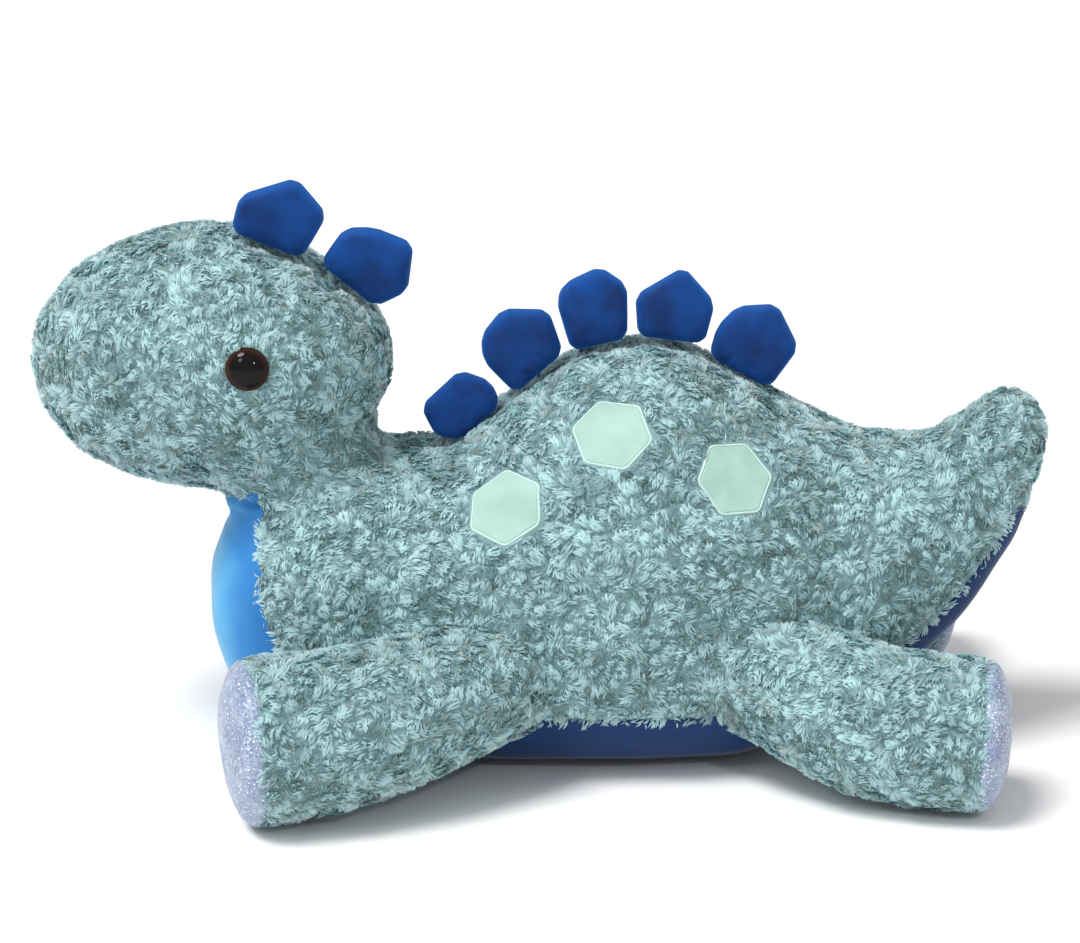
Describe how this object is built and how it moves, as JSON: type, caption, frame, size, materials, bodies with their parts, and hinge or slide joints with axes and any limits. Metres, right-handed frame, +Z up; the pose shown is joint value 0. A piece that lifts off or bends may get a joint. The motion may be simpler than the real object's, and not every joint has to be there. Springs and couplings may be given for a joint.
{
  "type": "plush stegosaurus",
  "caption": "Giant plush stegosaurus that lies on its belly, with a nodding head, soft back plates, mint spots, spread legs and a curled tail.",
  "frame": {"origin": "on the floor, under the middle of the toy's outer box", "axes": "+X from the head towards the tail, +Y towards the toy's right side, +Z up"},
  "size_m": [0.9241, 0.6344, 0.5249],
  "materials": {
    "fur": "grey-teal plush fur with a swirled pile",
    "plate_velvet": "royal blue short-pile velvet",
    "belly_velvet": "azure short-pile velvet",
    "mint_velvet": "pale mint short-pile velvet",
    "glitter_cloth": "lavender cloth with fine glitter",
    "fibre_fill": "white polyester fibre fill",
    "eye_plastic": "high gloss, near black with an amber rim",
    "washer_plastic": "moulded natural plastic"
  },
  "bodies": {
    "torso": {"belly_panel": "belly_velvet", "body_fur_left": "fur", "body_fur_right": "fur", "body_stuffing": "fibre_fill", "spot_left_front": "mint_velvet", "spot_left_middle": "mint_velvet", "spot_left_rear": "mint_velvet", "spot_right_front": "mint_velvet", "spot_right_middle": "mint_velvet", "spot_right_rear": "mint_velvet"},
    "head": {"eye_left": "eye_plastic", "eye_right": "eye_plastic", "eye_washer_left": "washer_plastic", "eye_washer_right": "washer_plastic", "head_fur_left": "fur", "head_fur_right": "fur", "head_stuffing": "fibre_fill"},
    "tail": {"tail_fur_left": "fur", "tail_fur_right": "fur", "tail_stuffing": "fibre_fill", "tail_underside": "belly_velvet"},
    "front_left_leg": {"front_left_foot_pad": "glitter_cloth", "front_left_leg_fur": "fur", "front_left_leg_stuffing": "fibre_fill"},
    "front_right_leg": {"front_right_foot_pad": "glitter_cloth", "front_right_leg_fur": "fur", "front_right_leg_stuffing": "fibre_fill"},
    "rear_left_leg": {"rear_left_foot_pad": "glitter_cloth", "rear_left_leg_fur": "fur", "rear_left_leg_stuffing": "fibre_fill"},
    "rear_right_leg": {"rear_right_foot_pad": "glitter_cloth", "rear_right_leg_fur": "fur", "rear_right_leg_stuffing": "fibre_fill"},
    "plate_1": {"plate_1_cover": "plate_velvet", "plate_1_stuffing": "fibre_fill"},
    "plate_2": {"plate_2_cover": "plate_velvet", "plate_2_stuffing": "fibre_fill"},
    "plate_3": {"plate_3_cover": "plate_velvet", "plate_3_stuffing": "fibre_fill"},
    "plate_4": {"plate_4_cover": "plate_velvet", "plate_4_stuffing": "fibre_fill"},
    "plate_5": {"plate_5_cover": "plate_velvet", "plate_5_stuffing": "fibre_fill"},
    "plate_6": {"plate_6_cover": "plate_velvet", "plate_6_stuffing": "fibre_fill"},
    "plate_7": {"plate_7_cover": "plate_velvet", "plate_7_stuffing": "fibre_fill"}
  },
  "joints": [
    {"name": "head_nod", "type": "hinge", "parent": "torso", "child": "head", "pos_m": [-0.2, 0, 0.262], "axis": [0, 1, 0], "range_deg": [-8, 8], "stiffness_Nm_per_rad": 25},
    {"name": "tail_wag", "type": "hinge", "parent": "torso", "child": "tail", "pos_m": [0.262, 0, 0], "axis": [0, 0, 1], "range_deg": [-10, 10], "stiffness_Nm_per_rad": 4},
    {"name": "front_left_leg_splay", "type": "hinge", "parent": "torso", "child": "front_left_leg", "pos_m": [-0.06, -0.15, 0], "axis": [0, 0, 1], "range_deg": [-10, 10], "stiffness_Nm_per_rad": 3},
    {"name": "front_right_leg_splay", "type": "hinge", "parent": "torso", "child": "front_right_leg", "pos_m": [-0.06, 0.15, 0], "axis": [0, 0, 1], "range_deg": [-10, 10], "stiffness_Nm_per_rad": 3},
    {"name": "rear_left_leg_splay", "type": "hinge", "parent": "torso", "child": "rear_left_leg", "pos_m": [0.215, -0.138, 0], "axis": [0, 0, 1], "range_deg": [-10, 10], "stiffness_Nm_per_rad": 3},
    {"name": "rear_right_leg_splay", "type": "hinge", "parent": "torso", "child": "rear_right_leg", "pos_m": [0.215, 0.138, 0], "axis": [0, 0, 1], "range_deg": [-10, 10], "stiffness_Nm_per_rad": 3},
    {"name": "plate_1_flop", "type": "hinge", "parent": "head", "child": "plate_1", "pos_m": [-0.2426, -0.0244, 0.4641], "axis": [0.9261, 0.013, -0.377], "range_deg": [-15, 15], "stiffness_Nm_per_rad": 0.15},
    {"name": "plate_2_flop", "type": "hinge", "parent": "head", "child": "plate_2", "pos_m": [-0.1725, -0.0213, 0.428], "axis": [0.7599, 0.102, -0.6419], "range_deg": [-15, 15], "stiffness_Nm_per_rad": 0.15},
    {"name": "plate_3_flop", "type": "hinge", "parent": "torso", "child": "plate_3", "pos_m": [-0.0542, 0, 0.2943], "axis": [0.7293, 0, 0.6842], "range_deg": [-15, 15], "stiffness_Nm_per_rad": 0.15},
    {"name": "plate_4_flop", "type": "hinge", "parent": "torso", "child": "plate_4", "pos_m": [0.0016, 0, 0.3423], "axis": [0.7549, 0, 0.6559], "range_deg": [-15, 15], "stiffness_Nm_per_rad": 0.15},
    {"name": "plate_5_flop", "type": "hinge", "parent": "torso", "child": "plate_5", "pos_m": [0.0526, 0, 0.3671], "axis": [0.9732, 0, 0.23], "range_deg": [-15, 15], "stiffness_Nm_per_rad": 0.15},
    {"name": "plate_6_flop", "type": "hinge", "parent": "torso", "child": "plate_6", "pos_m": [0.1172, 0, 0.3718], "axis": [0.9932, 0, -0.116], "range_deg": [-15, 15], "stiffness_Nm_per_rad": 0.15},
    {"name": "plate_7_flop", "type": "hinge", "parent": "torso", "child": "plate_7", "pos_m": [0.1746, 0, 0.3438], "axis": [0.8757, 0, -0.4828], "range_deg": [-15, 15], "stiffness_Nm_per_rad": 0.15}
  ]
}
